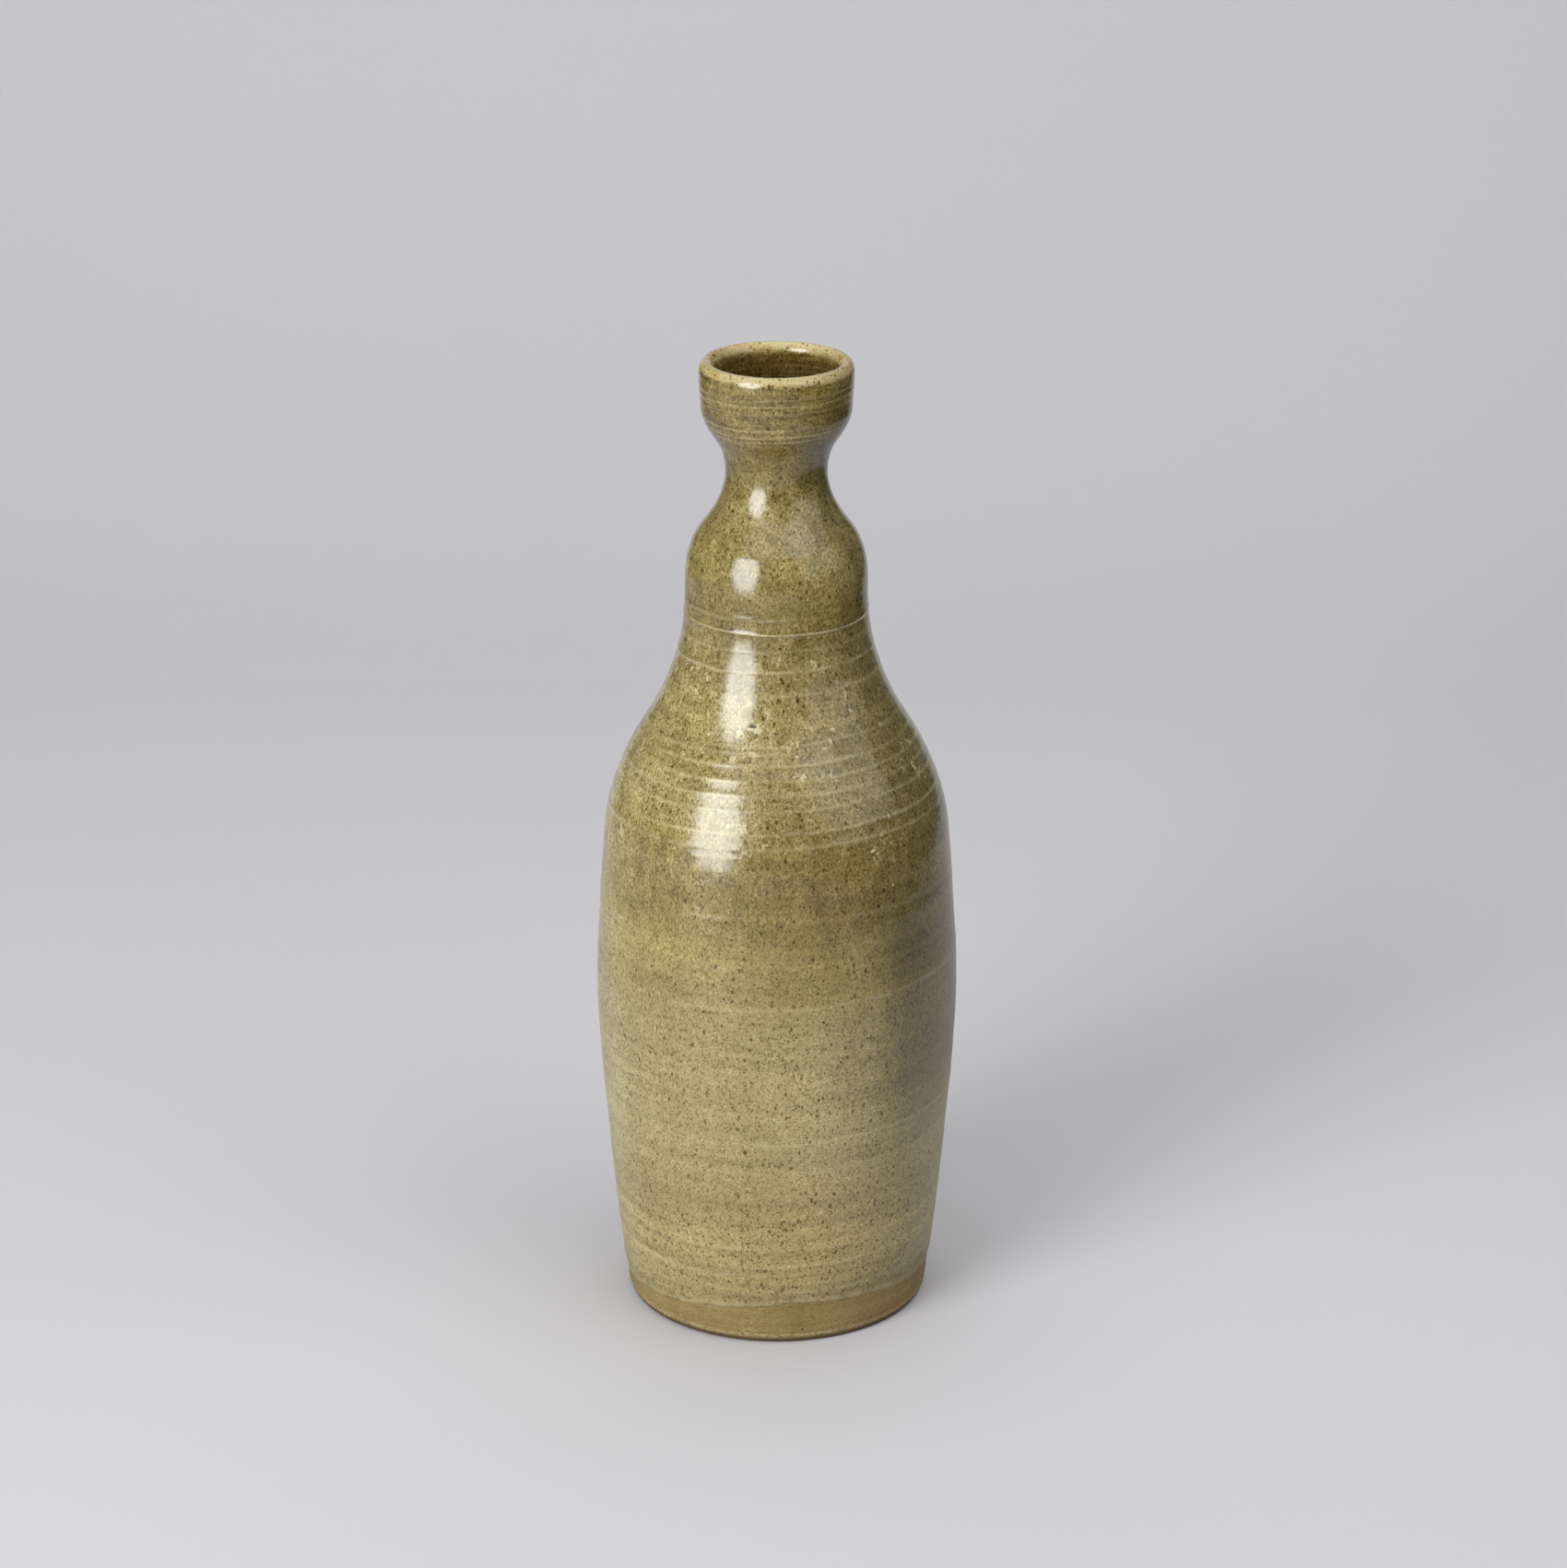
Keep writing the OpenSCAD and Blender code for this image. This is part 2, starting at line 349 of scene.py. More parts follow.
class Graph:
    """Short calls for building a material's nodes."""

    def __init__(self, name):
        self.material = bpy.data.materials.new(name)
        self.material.use_nodes = True
        self.tree = self.material.node_tree
        self.tree.nodes.clear()
        self.out = self.tree.nodes.new("ShaderNodeOutputMaterial")
        coord = self.tree.nodes.new("ShaderNodeTexCoord")
        self.place = coord.outputs["Object"]
        split = self.tree.nodes.new("ShaderNodeSeparateXYZ")
        self.tree.links.new(self.place, split.inputs[0])
        # Position across and up, in millimetres
        self.x = self.times(split.outputs["X"], 1 / MM)
        self.z = self.times(split.outputs["Z"], 1 / MM)

    def put(self, socket, value):
        """Links the value to the socket if it comes from a node, or sets it."""
        if isinstance(value, bpy.types.NodeSocket):
            self.tree.links.new(value, socket)
        elif isinstance(value, (tuple, list)) and len(value) == 3 and socket.type == "RGBA":
            socket.default_value = (*value, 1.0)
        else:
            socket.default_value = value

    def math(self, operation, a, b):
        node = self.tree.nodes.new("ShaderNodeMath")
        node.operation = operation
        self.put(node.inputs[0], a)
        self.put(node.inputs[1], b)
        return node.outputs[0]

    def times(self, a, b):
        return self.math("MULTIPLY", a, b)

    def plus(self, a, b):
        return self.math("ADD", a, b)

    def minus(self, a, b):
        return self.math("SUBTRACT", a, b)

    def stretched(self, scale):
        """The position, multiplied by the scale on each axis."""
        node = self.tree.nodes.new("ShaderNodeVectorMath")
        node.operation = "MULTIPLY"
        self.put(node.inputs[0], self.place)
        node.inputs[1].default_value = scale
        return node.outputs[0]

    def noise(self, size_mm, detail=2.0, roughness=0.5, scale=(1, 1, 1), shift=0.0):
        """Noise whose features are about size_mm across, 0 to 1 round 0.5."""
        node = self.tree.nodes.new("ShaderNodeTexNoise")
        node.noise_dimensions = "4D"
        self.put(node.inputs["Vector"], self.stretched(scale))
        node.inputs["W"].default_value = shift
        node.inputs["Scale"].default_value = 1 / (size_mm * MM)
        node.inputs["Detail"].default_value = detail
        node.inputs["Roughness"].default_value = roughness
        return node.outputs["Fac"]

    def cells(self, size_mm, scale=(1, 1, 1), shift=(0, 0, 0)):
        """Distance to the nearest of points scattered about size_mm apart, and its random colour."""
        move = self.tree.nodes.new("ShaderNodeVectorMath")
        move.operation = "ADD"
        self.put(move.inputs[0], self.stretched(scale))
        move.inputs[1].default_value = shift
        node = self.tree.nodes.new("ShaderNodeTexVoronoi")
        self.put(node.inputs["Vector"], move.outputs[0])
        node.inputs["Scale"].default_value = 1 / (size_mm * MM)
        return node.outputs["Distance"], node.outputs["Color"]

    def ramp(self, value, stops):
        """Looks the value up between the stops, which are positions with a colour or a grey."""
        node = self.tree.nodes.new("ShaderNodeValToRGB")
        elements = node.color_ramp.elements
        for position, _colour in stops[2:]:
            elements.new(position)
        for element, (position, colour) in zip(elements, sorted(stops)):
            element.position = position
            element.color = (*colour, 1.0) if isinstance(colour, tuple) else (colour,) * 3 + (1.0,)
        self.put(node.inputs[0], value)
        return node.outputs[0]

    def remap(self, value, low, high, to_low=0.0, to_high=1.0, smooth=True):
        node = self.tree.nodes.new("ShaderNodeMapRange")
        node.interpolation_type = "SMOOTHSTEP" if smooth else "LINEAR"
        for socket, item in zip(node.inputs[:5], (value, low, high, to_low, to_high)):
            self.put(socket, item)
        return node.outputs[0]

    def fade(self, start, end):
        """0 at the first height and 1 at the second, in millimetres."""
        return self.remap(self.z, start, end)

    def mix(self, factor, a, b, blend="MIX"):
        node = self.tree.nodes.new("ShaderNodeMix")
        node.data_type = "RGBA"
        node.blend_type = blend
        self.put(node.inputs["Factor"], factor)
        self.put(node.inputs[6], a)
        self.put(node.inputs[7], b)
        return node.outputs[2]

    def tint(self, factor, colour, multiplier):
        """Multiplies a colour, by as much of the multiplier as the factor says."""
        return self.mix(factor, colour, multiplier, "MULTIPLY")

    def between(self, value, colour, low, high):
        """Multiplies a colour by something from low to high, as value goes from 0 to 1."""
        return self.mix(1.0, colour, self.mix(value, low, high), "MULTIPLY")

    def mix_value(self, factor, a, b):
        node = self.tree.nodes.new("ShaderNodeMix")
        node.data_type = "FLOAT"
        self.put(node.inputs[0], factor)
        self.put(node.inputs[2], a)
        self.put(node.inputs[3], b)
        return node.outputs[0]

    def bump(self, height, strength, distance_mm):
        node = self.tree.nodes.new("ShaderNodeBump")
        node.inputs["Strength"].default_value = strength
        node.inputs["Distance"].default_value = distance_mm * MM
        self.put(node.inputs["Height"], height)
        return node.outputs[0]

    def toward(self, az_degrees):
        """The cosine of the angle round the bottle from the given azimuth."""
        a = math.radians(az_degrees)
        flat = self.stretched((1, 1, 0))
        unit = self.tree.nodes.new("ShaderNodeVectorMath")
        unit.operation = "NORMALIZE"
        self.put(unit.inputs[0], flat)
        dot = self.tree.nodes.new("ShaderNodeVectorMath")
        dot.operation = "DOT_PRODUCT"
        self.put(dot.inputs[0], unit.outputs[0])
        dot.inputs[1].default_value = (math.sin(a), -math.cos(a), 0)
        return dot.outputs["Value"]

    def side(self, az_degrees, low, high):
        """1 where the cosine of the angle from the azimuth is over high, and 0 where it is under low."""
        return self.remap(self.toward(az_degrees), low, high)

    def specks(self, apart_mm, largest_mm, share, scale=(1, 1, 1), shift=(0, 0, 0)):
        """1 in round specks of random radius, up to largest_mm, at about that share of the places."""
        near, pick = self.cells(apart_mm, scale, shift)
        least = PICK_MOST - PICK_SPAN * share
        size = self.remap(pick, least, PICK_MOST, 0.0, largest_mm / apart_mm, smooth=False)
        soft = SPECK_BLUR / apart_mm
        return self.remap(self.minus(near, size), soft, -soft)

    def spot(self, az_degrees, height, half_width, half_height, edge=0.5):
        """1 inside a soft oval on the surface, 0 outside. Sizes in millimetres."""
        radius = float(clay_outside(height)[0]) + GLAZE_T
        a = math.radians(az_degrees)
        move = self.tree.nodes.new("ShaderNodeVectorMath")
        move.operation = "SUBTRACT"
        self.put(move.inputs[0], self.place)
        move.inputs[1].default_value = (radius * math.sin(a) * MM, -radius * math.cos(a) * MM, height * MM)
        size = self.tree.nodes.new("ShaderNodeVectorMath")
        size.operation = "MULTIPLY"
        self.put(size.inputs[0], move.outputs[0])
        size.inputs[1].default_value = (1 / (half_width * MM), 1 / (half_width * MM), 1 / (half_height * MM))
        length = self.tree.nodes.new("ShaderNodeVectorMath")
        length.operation = "LENGTH"
        self.put(length.inputs[0], size.outputs[0])
        return self.remap(length.outputs["Value"], 1.0, edge)

    def surface(self, **sockets):
        shader = self.tree.nodes.new("ShaderNodeBsdfPrincipled")
        for key, value in sockets.items():
            self.put(shader.inputs[key.replace("_", " ")], value)
        self.tree.links.new(shader.outputs[0], self.out.inputs[0])
        return self.material


# ---------------------------------------------------------------- glaze
# Glaze colour at each height, in linear light, brought close to the reference view by comparing
# the two and correcting this list
GLAZE_BY_HEIGHT = [
    (0, (0.252, 0.205, 0.095)),
    (14, (0.267, 0.217, 0.102)),
    (25, (0.326, 0.266, 0.121)),
    (40, (0.284, 0.231, 0.113)),
    (55, (0.314, 0.266, 0.138)),
    (72, (0.308, 0.259, 0.134)),
    (90, (0.287, 0.241, 0.121)),
    (99, (0.255, 0.208, 0.086)),
    (108, (0.237, 0.191, 0.072)),
    (116, (0.185, 0.145, 0.049)),
    (124, (0.180, 0.139, 0.049)),
    (132, (0.214, 0.167, 0.067)),
    (147, (0.242, 0.197, 0.092)),
    (156, (0.204, 0.163, 0.068)),
    (165, (0.275, 0.225, 0.107)),
    (182, (0.228, 0.185, 0.083)),
    (190, (0.159, 0.125, 0.037)),
    (197, (0.215, 0.175, 0.068)),
    (205, (0.255, 0.206, 0.089)),
    (215, (0.251, 0.208, 0.093)),
    (223, (0.173, 0.139, 0.047)),
    (230, (0.170, 0.130, 0.045)),
    (235, (0.198, 0.156, 0.063)),
    (240, (0.170, 0.134, 0.045)),
    (246, (0.196, 0.156, 0.050)),
]
# Pale lines where the glaze breaks thin over a ring: height and strength
LINES_ROUND = [
    (137.1, 0.45), (140.7, 0.55), (145.9, 0.45), (149.3, 0.5), (152.5, 0.5), (155.8, 0.55),
    (176.8, 0.6), (181.8, 0.3),
]
LINES_LEFT = [(14.8, 0.3), (20.8, 0.9), (28.5, 0.3), (158.3, 0.5), (190.1, 0.55)]
LINES_RIGHT = [
    (15.0, 0.3), (23.2, 0.55), (50.2, 0.4), (58.6, 0.55), (65.3, 0.3), (95.8, 0.55),
    (160.0, 0.4), (171.2, 0.5),
]
LINES_MOUTH = [(233.4, 0.35), (234.8, 0.4), (236.8, 0.4), (240.9, 0.3), (242.9, 0.5), (244.5, 0.4)]
# The strongest line, at the foot of the bulge
LINES_BULGE = [(186.2, 1.1)]
# Single marks in the glaze: azimuth, height, half width and half height
PITS = [
    (-44, 159.1, 0.5, 0.4), (-22.5, 145.3, 0.7, 0.45), (-20, 146.1, 0.6, 0.5),
    (-3, 142.6, 0.35, 1.8), (-12, 164.3, 1.6, 0.3),
]
CHIPS = [
    (-18, 162.8, 1.2, 0.8), (-12, 163.7, 1.8, 0.5), (25.5, 160.5, 0.5, 2.6), (28, 163.0, 0.9, 0.5),
    (34, 134.4, 0.9, 0.5), (41, 124.5, 0.5, 0.5), (57, 160.9, 0.6, 0.8), (43, 141.5, 0.5, 0.9),
]
# Broad changes of tone, matched to the reference view, mostly painted shade and painted light: painted shade
# on the right and under the mouth, and painted light and sheen on the left and on the bulge. Each gives the
# azimuth, the cosines at which each starts and is full, the spans of height over which it fades in and out,
# and its multiplier of the colour
PAINTED_SHADE_AND_LIGHT_ZONES = [
    # Painted shade on the right of the body, where the wall faces sideways
    (75, (0.69, 0.92), [(44, 74), (128, 106)], (0.53, 0.50, 0.44)),
    # Painted sheen on the left edge, below the shoulder
    (-84, (0.82, 0.98), [(156, 140)], (1.21, 1.26, 1.35)),
    # Painted shade on the right, from the shoulder up
    (80, (0.80, 0.96), [(124, 134)], (0.80, 0.79, 0.77)),
    # Painted shade on the right, under the mouth
    (72, (0.6, 0.95), [(216, 224), (241, 236)], (0.70, 0.68, 0.66)),
    # Painted shade on the left, on the neck and under the mouth
    (-76, (0.75, 0.97), [(206, 214), (241, 236)], (0.78, 0.77, 0.75)),
    # Painted light on the lit left, from the belly to the shoulder
    (-50, (0.5, 0.95), [(97, 111), (176, 164)], (1.23, 1.28, 1.34)),
    # Painted sheen right of centre, on the bulge
    (34, (0.88, 0.98), [(184, 190), (208, 202)], (1.20, 1.21, 1.30)),
]
# Spans of height over which the glaze's texture turns into that of the shoulder, the foot, the cup
# and the lip
UPPER = (92, 132)
LOWER = (46, 28)
CUP = (224, 234)
LIP = (247.3, 248.8)
# Multipliers of the glaze's colour in a dark fleck, a pale one, an iron speck, a crack and a pinhole
DARK_FLECK = (0.58, 0.54, 0.34)
PALE_FLECK = (1.24, 1.27, 1.45)
IRON = (0.32, 0.245, 0.08)
CRACK = (0.42, 0.34, 0.18)
PIT = (0.20, 0.16, 0.10)
# Colours of the thin places: on rings, in nicks and chips, on the lip and along the dry lower edge
PALE_LINE = (0.48, 0.43, 0.24)
NICK = (0.50, 0.45, 0.25)
CHIP = (0.60, 0.56, 0.38)
LIP_CREAM = (0.43, 0.36, 0.18)
LIP_TAN = (0.39, 0.28, 0.105)
DRY_EDGE = (0.36, 0.295, 0.145)


def line_mask(g, lines, leaned, half=0.6):
    """A ramp over height with a narrow peak at each line."""
    low = min(h for h, _s in lines) - 2
    high = max(h for h, _s in lines) + 2
    stops = [(0.0, 0.0), (1.0, 0.0)]
    for height, strength in lines:
        for offset, value in ((-half, 0.0), (0.0, strength), (half, 0.0)):
            stops.append(((height + offset - low) / (high - low), value))
    return g.ramp(g.remap(leaned, low, high, smooth=False), stops)


def height_colour(g):
    top = 250
    stops = [(height / top, colour) for height, colour in GLAZE_BY_HEIGHT]
    return g.ramp(g.remap(g.z, 0, top, smooth=False), stops)


def ring_lines(g, wander, broken):
    """Where the glaze breaks pale over the throwing rings, 0 to 1."""
    leaned = g.plus(g.minus(g.z, g.times(g.x, RING_LEAN)), wander)
    left, right = g.side(-62, 0.0, 0.7), g.side(48, -0.1, 0.6)
    masks = [
        line_mask(g, LINES_ROUND, leaned),
        g.times(line_mask(g, LINES_LEFT, leaned), left),
        g.times(line_mask(g, LINES_RIGHT, leaned), right),
        line_mask(g, LINES_MOUTH, leaned, 0.35),
        line_mask(g, LINES_BULGE, g.plus(g.z, g.times(wander, 0.25)), 0.4),
    ]
    total = masks[0]
    for mask in masks[1:]:
        total = g.math("MAXIMUM", total, mask)
    return g.times(total, broken)


def edge_above(g):
    """Height above the glaze's lower edge, in millimetres."""
    turn = g.toward(math.degrees(EDGE_AZ))
    twice = g.minus(g.times(g.times(turn, turn), 2), 1)
    edge = g.plus(g.plus(g.times(turn, EDGE_TILT), g.times(twice, EDGE_BEND)), EDGE_MEAN)
    return g.minus(g.z, edge)


def glaze_colour_with_painted_shade_and_light(g):
    """The glaze's colour by height, with painted shade and painted light by side, before its mottling and
    specks.
    """
    colour = height_colour(g)
    # Painted shade and painted light, zone by zone
    for az_degrees, cosines, spans, multiplier in PAINTED_SHADE_AND_LIGHT_ZONES:
        mask = g.side(az_degrees, *cosines)
        for span in spans:
            mask = g.times(mask, g.fade(*span))
        colour = g.tint(mask, colour, multiplier)
    # A warm flush on the bulge and neck
    flush = g.times(g.side(-30, 0.2, 0.9), g.times(g.fade(192, 199), g.fade(216, 208)))
    flush = g.times(flush, g.remap(g.noise(6, 2, 0.6, shift=9.0), 0.46, 0.66))
    return g.tint(flush, colour, (1.06, 0.99, 0.95))


def mottled(g, colour, mottle, upper, lower):
    """Adds the cloudy changes of thickness, from a few millimetres to a few centimetres across."""
    cloud = g.remap(g.noise(24, 2, 0.5, upright(0.75), 1.0), 0.35, 0.65)
    colour = g.between(cloud, colour, (0.93, 0.92, 0.88), (1.07, 1.07, 1.08))
    patch = g.mix_value(g.remap(upper, 0, 1, 0.3, 1.0), 0.5, g.remap(mottle, 0.32, 0.68))
    colour = g.between(patch, colour, (0.84, 0.83, 0.76), (1.16, 1.16, 1.16))
    # Vertical runs on the shoulder and neck
    runs = g.remap(g.noise(1.9, 2, 0.55, upright(0.2), 5.0), 0.36, 0.64)
    colour = g.between(g.mix_value(upper, 0.5, runs), colour, (0.90, 0.89, 0.83), (1.08, 1.08, 1.08))
    # Horizontal bands left by the thrower's fingers, strongest near the foot
    bands = g.remap(g.noise(2.4, 2, 0.6, around(0.03), 3.0), 0.35, 0.65)
    bands = g.mix_value(g.remap(lower, 0, 1, 0.6, 1.0), 0.5, bands)
    colour = g.between(bands, colour, (0.85, 0.85, 0.81), (1.13, 1.13, 1.12))
    # Fine turning lines round the cup
    turned = g.remap(g.noise(0.8, 2, 0.65, around(0.06), 13.0), 0.36, 0.64)
    turned = g.mix_value(g.fade(*CUP), 0.5, turned)
    return g.between(turned, colour, (0.76, 0.75, 0.68), (1.20, 1.21, 1.24))


def grained(g, colour, dust, grain, upper):
    """Adds soft flecks, from under half a millimetre to over a millimetre across."""
    colour = g.between(dust, colour, (0.80, 0.78, 0.62), (1.20, 1.22, 1.36))
    curd = g.remap(g.noise(0.55, 2, 0.6, upright(0.6), 17.0), 0.36, 0.64)
    colour = g.between(g.mix_value(upper, 0.5, curd), colour, (0.78, 0.76, 0.60), (1.22, 1.24, 1.38))
    colour = g.tint(g.remap(grain, 0.47, 0.34), colour, DARK_FLECK)
    return g.tint(g.remap(grain, 0.54, 0.68), colour, PALE_FLECK)


def shoulder_marks(g, colour):
    """Adds short hanging cracks and pale nicks on the shoulder, then the single marks."""
    shoulder = g.times(g.fade(126, 136), g.fade(188, 178))
    crack = g.remap(g.noise(1.2, 2, 0.5, upright(0.16), 12.0), 0.355, 0.29)
    colour = g.tint(g.times(crack, shoulder), colour, CRACK)
    nick = g.remap(g.noise(2.0, 3, 0.7, upright(0.7), 15.0), 0.575, 0.64)
    where = g.times(shoulder, g.remap(g.noise(17, 1, shift=16.0), 0.48, 0.6))
    colour = g.mix(g.times(g.times(nick, where), 0.9), colour, NICK)
    for mark in PITS:
        colour = g.tint(g.spot(*mark), colour, PIT)
    for mark in CHIPS:
        colour = g.mix(g.times(g.spot(*mark), 0.6), colour, CHIP)
    return colour


def pale_lines(g):
    """Where the rings show pale, 0 to 1, broken up along their length."""
    wander = g.times(g.minus(g.noise(14, 1), 0.5), 1.2)
    short = g.remap(g.noise(1.4, 2, 0.6, upright(0.6), 6.0), 0.36, 0.56, 0.45, 1.0)
    long = g.remap(g.noise(11, 1, shift=8.0), 0.36, 0.6, 0.5, 1.0)
    return ring_lines(g, wander, g.times(short, long))


def lip_colour(g, dust, specks):
    """The lip, where the glaze runs thin: cream and tan, with brown specks, and a painted highlight that
    makes it paler at the back.
    """
    tan = g.remap(g.noise(4.5, 2, 0.6, shift=21.0), 0.5, 0.62)
    colour = g.mix(tan, LIP_CREAM, LIP_TAN)
    colour = g.between(dust, colour, (0.84, 0.80, 0.66), (1.12, 1.14, 1.2))
    colour = g.tint(specks, colour, (0.26, 0.16, 0.07))
    # Painted highlight: the back of the lip made paler and a little bluer
    return g.tint(g.side(180, 0.2, 0.9), colour, (1.22, 1.22, 1.26))


def ash_glaze(name, lined=False):
    """Olive ash glaze over iron-speckled stoneware: mottled, streaked, pale where it breaks over rings."""
    g = Graph(name)
    upper = g.fade(*UPPER)
    lower = g.fade(*LOWER)
    mottle = g.noise(4.2, 3, 0.6, upright(0.7), 2.0)
    dust = g.remap(g.noise(0.34, 1, 0.5, upright(0.8), 3.5), 0.36, 0.64)
    grain = g.noise(0.62, 2, 0.6, upright(0.75), 4.0)
    colour = mottled(g, glaze_colour_with_painted_shade_and_light(g), mottle, upper, lower)
    colour = grained(g, colour, dust, grain, upper)

    # Iron specks: a fine sowing, thicker near the foot, and larger ones further apart
    fine = g.specks(0.85, 0.32, 0.9, upright(0.85))
    colour = g.tint(g.times(fine, g.remap(lower, 0, 1, 0.7, 1.0)), colour, IRON)
    large = g.specks(1.5, 0.43, 0.65, upright(0.75), (3, 5, 7))
    colour = g.tint(g.times(large, 0.9), colour, IRON)

    colour = shoulder_marks(g, colour)
    lines = pale_lines(g)
    colour = g.mix(lines, colour, PALE_LINE)
    lip = g.remap(g.plus(g.z, g.times(g.minus(mottle, 0.5), 1.5)), *LIP)
    colour = g.mix(lip, colour, lip_colour(g, dust, g.math("MAXIMUM", fine, large)))

    rough = g.plus(g.remap(g.z, 40, 150, 0.38, 0.18), g.times(g.minus(grain, 0.5), 0.2))
    if lined:
        # Painted shade inside the mouth: the lining darkened below the lip
        colour = g.tint(g.fade(247.8, 245.6), colour, (0.62, 0.53, 0.44))
    else:
        # The glaze's dry lower edge
        above = edge_above(g)
        dry = g.remap(g.plus(above, g.times(g.minus(grain, 0.5), 3)), 2.4, 0.6)
        colour = g.mix(g.times(dry, g.remap(mottle, 0.4, 0.6, 0.15, 0.75)), colour, DRY_EDGE)
        rough = g.plus(rough, g.times(g.remap(above, 8, 1), 0.2))

    height = g.plus(g.times(lines, 0.4), g.plus(g.times(grain, 0.3), g.times(mottle, 0.9)))
    normal = g.bump(height, 0.4, 0.15)
    return g.surface(Base_Color=colour, Roughness=rough, IOR=1.56, Normal=normal)


def stoneware(name):
    """Bare fired clay: warm tan with fine turning lines, dark iron specks and pale grit."""
    g = Graph(name)
    patch = g.remap(g.noise(13, 3, 0.55), 0.3, 0.7)
    colour = g.mix(patch, (0.215, 0.150, 0.053), (0.256, 0.186, 0.070))
    dust = g.remap(g.noise(0.34, 1, 0.5, shift=3.5), 0.36, 0.64)
    colour = g.between(dust, colour, (0.84, 0.82, 0.72), (1.14, 1.16, 1.24))
    grain = g.noise(0.7, 2, 0.6, shift=2.0)
    colour = g.tint(g.remap(grain, 0.46, 0.34), colour, (0.72, 0.68, 0.58))
    turned = g.remap(g.noise(0.9, 2, 0.6, around(0.02), 3.0), 0.35, 0.65)
    colour = g.between(turned, colour, (0.90, 0.89, 0.86), (1.06, 1.06, 1.06))
    colour = g.tint(g.specks(2.4, 0.3, 0.5), colour, (0.25, 0.2, 0.15))
    grit = g.specks(1.4, 0.2, 0.6, shift=(9, 2, 4))
    colour = g.mix(g.times(grit, 0.55), colour, (0.50, 0.43, 0.26))
    # A reddish flash where the flame touched
    flash = g.spot(47, 3.0, 11, 2.6, 0.1)
    colour = g.tint(g.times(flash, 0.7), colour, (1.0, 0.66, 0.62))
    # A worn pale line above the bevel, and painted shade on the bevel that it stands on, where the foot
    # turns under to the table
    rim = g.times(g.fade(1.5, 1.9), g.fade(3.0, 2.4))
    colour = g.mix(g.times(rim, g.remap(grain, 0.42, 0.56, 0.0, 0.5)), colour, (0.45, 0.39, 0.21))
    # Painted shade: the downward-facing bevel darkened
    colour = g.tint(g.fade(1.8, 1.1), colour, (0.34, 0.29, 0.25))
    normal = g.bump(g.plus(g.times(grain, 0.6), g.times(turned, 0.5)), 0.5, 0.12)
    return g.surface(Base_Color=colour, Roughness=0.72, IOR=1.45, Normal=normal)


# ---------------------------------------------------------------- stage, light and camera
def plain(name, colour, roughness):
    g = Graph(name)
    return g.surface(Base_Color=colour, Roughness=roughness, IOR=1.45)


def sheet(name, line, left, right, material):
    """A sheet of paper: a line in the side view, as (y, z), swept from left to right."""
    points = [(x, y, z) for y, z in line for x in (left, right)]
    faces = [(2 * k, 2 * k + 1, 2 * k + 3, 2 * k + 2) for k in range(len(line) - 1)]
    mesh = bpy.data.meshes.new(name)
    mesh.from_pydata(points, [], faces)
    mesh.polygons.foreach_set("use_smooth", [True] * len(mesh.polygons))
    obj = bpy.data.objects.new(name, mesh)
    obj.data.materials.append(material)
    bpy.context.scene.collection.objects.link(obj)
    return obj


def backdrop():
    """A pale table, and a roll of the same paper that curves up behind the bottle. In metres."""
    paper = plain("pale_paper", (0.603, 0.598, 0.622), 0.9)
    reach, split, half_wide, full_wide = 3.0, 0.4, 0.45, 1.6
    table = [(-reach, 0.0), (reach, 0.0)]
    sheet("table", table, -reach, split, paper)
    # The roll lies a hair above the table, and its front end a hair under it, so that no edge shows
    front, run, radius, top, lift, steps = 0.45, 0.5, 0.8, 1.5, 0.0004, 24
    line = [(front, -lift)]
    for k in range(steps + 1):
        a = math.radians(90 * k / steps)
        line.append((run + radius * math.sin(a), radius * (1 - math.cos(a)) + lift))
    line.append((run + radius, top))
    sheet("backdrop", line, -half_wide, half_wide, paper)
    sides = [
        sheet("table_right", table, split, reach, paper),
        sheet("backdrop_left", line, -full_wide, -half_wide, paper),
        sheet("backdrop_right", line, half_wide, full_wide, paper),
    ]
    # The glaze mirrors only the middle of the sweep, so the bottle's outline stays dark against it
    for side in sides:
        side.visible_glossy = False


def softbox(name, az_degrees, distance, height, width, tall, power, aim_z=0.14, shape="RECTANGLE"):
    """A light that stands round the bottle and faces it. Metres and watts."""
    a = math.radians(az_degrees)
    light = bpy.data.lights.new(name, "AREA")
    light.shape = shape
    light.size, light.size_y = width, tall
    light.energy = power
    obj = bpy.data.objects.new(name, light)
    obj.location = (distance * math.sin(a), -distance * math.cos(a), height)
    aim = Vector((0, 0, aim_z)) - obj.location
    obj.rotation_euler = aim.to_track_quat("-Z", "Y").to_euler()
    bpy.context.scene.collection.objects.link(obj)


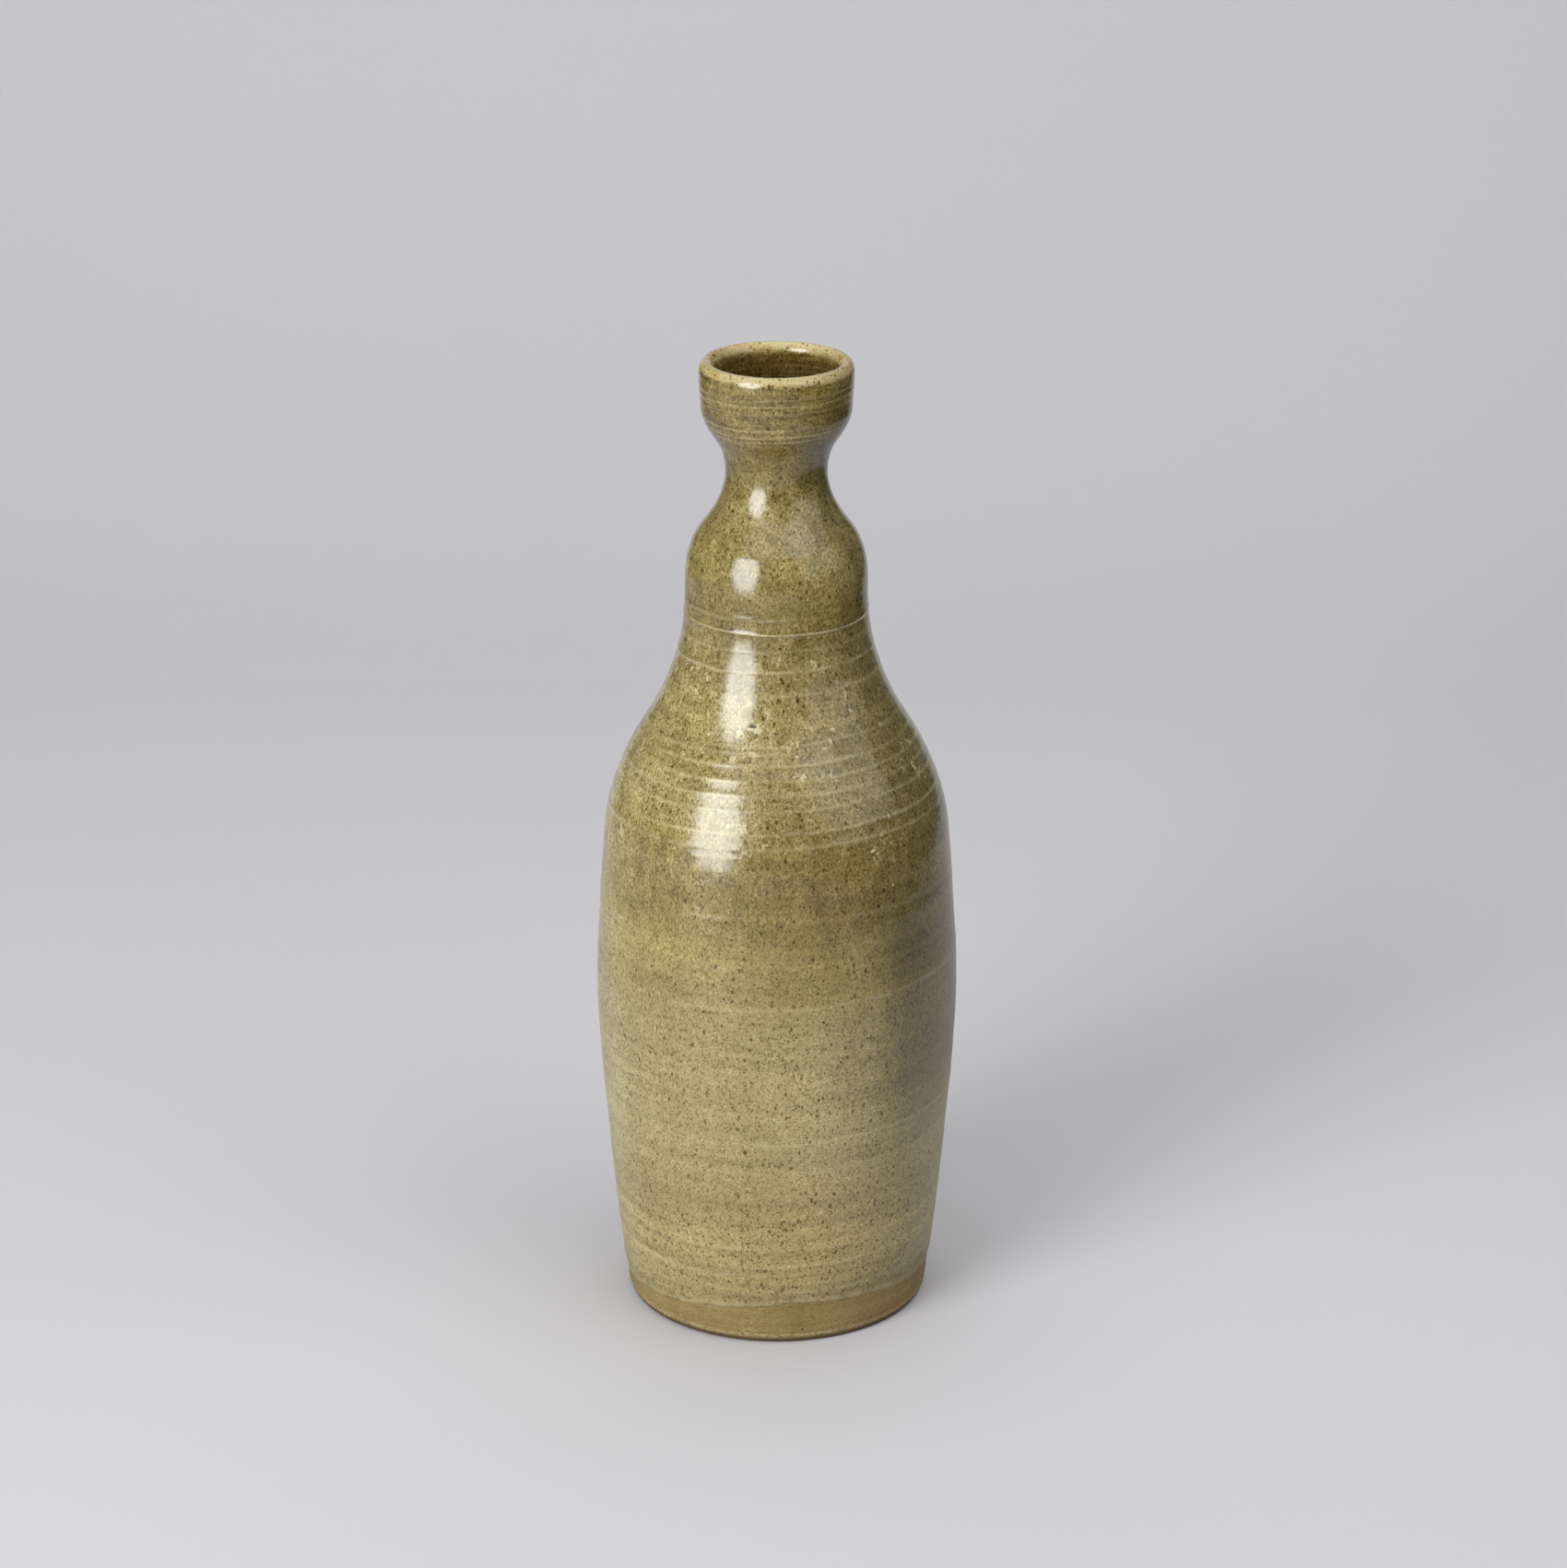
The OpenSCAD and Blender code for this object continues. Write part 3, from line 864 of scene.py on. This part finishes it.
def lights():
    """The key light on the left, three weaker ones and a dim room.

    Past the paper's edges, the camera sees a pale grey that lights nothing.
    """
    softbox("key_light", -41, distance=1.6, height=0.52, width=0.97, tall=1.27, power=31,
            shape="ELLIPSE")
    softbox("right_panel", 60, distance=1.25, height=1.08, width=1.7, tall=1.5, power=6.8)
    softbox("overhead_light", 8, distance=0.25, height=1.25, width=1.8, tall=1.6, power=11.0, aim_z=0.0)
    softbox("back_light", 180, distance=0.9, height=1.7, width=1.8, tall=0.9, power=4.5, aim_z=0.0)
    world = bpy.data.worlds.new("studio")
    bpy.context.scene.world = world
    world.use_nodes = True
    nodes, links = world.node_tree.nodes, world.node_tree.links
    room = nodes["Background"]
    room.inputs["Color"].default_value = (1, 1, 1, 1)
    room.inputs["Strength"].default_value = 0.05
    seen = nodes.new("ShaderNodeBackground")
    seen.inputs["Color"].default_value = (0.54, 0.54, 0.56, 1)
    seen.inputs["Strength"].default_value = 1.0
    ray = nodes.new("ShaderNodeLightPath")
    either = nodes.new("ShaderNodeMixShader")
    links.new(ray.outputs["Is Camera Ray"], either.inputs[0])
    links.new(room.outputs[0], either.inputs[1])
    links.new(seen.outputs[0], either.inputs[2])
    links.new(either.outputs[0], nodes["World Output"].inputs[0])


def camera():
    """Views the bottle from the front and above, from a little over a metre away."""
    pitch = math.radians(20.62)
    distance = 1.1568
    aim = Vector((0.00172, 0.0, 0.13875))
    data = bpy.data.cameras.new("camera")
    data.lens = 104.66
    data.sensor_width = 36
    obj = bpy.data.objects.new("camera", data)
    obj.location = aim + Vector((0, -distance * math.cos(pitch), distance * math.sin(pitch)))
    obj.rotation_euler = (math.pi / 2 - pitch, 0, 0)
    bpy.context.scene.collection.objects.link(obj)
    bpy.context.scene.camera = obj


# ---------------------------------------------------------------- assembly
def place(obj, node, material):
    """Puts a finished piece in the place of the CAD node and material."""
    obj.data.materials.append(material)
    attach(obj, "root")
    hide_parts(node)


camera()
lights()
backdrop()
bpy.context.scene.view_settings.view_transform = "Standard"
place(clay(), "clay_body", stoneware("bare_stoneware_clay"))
place(glaze_coat(), "outer_glaze", ash_glaze("olive_ash_glaze"))
place(lining_glaze(), "inner_glaze", ash_glaze("lining_glaze_with_painted_shade", lined=True))
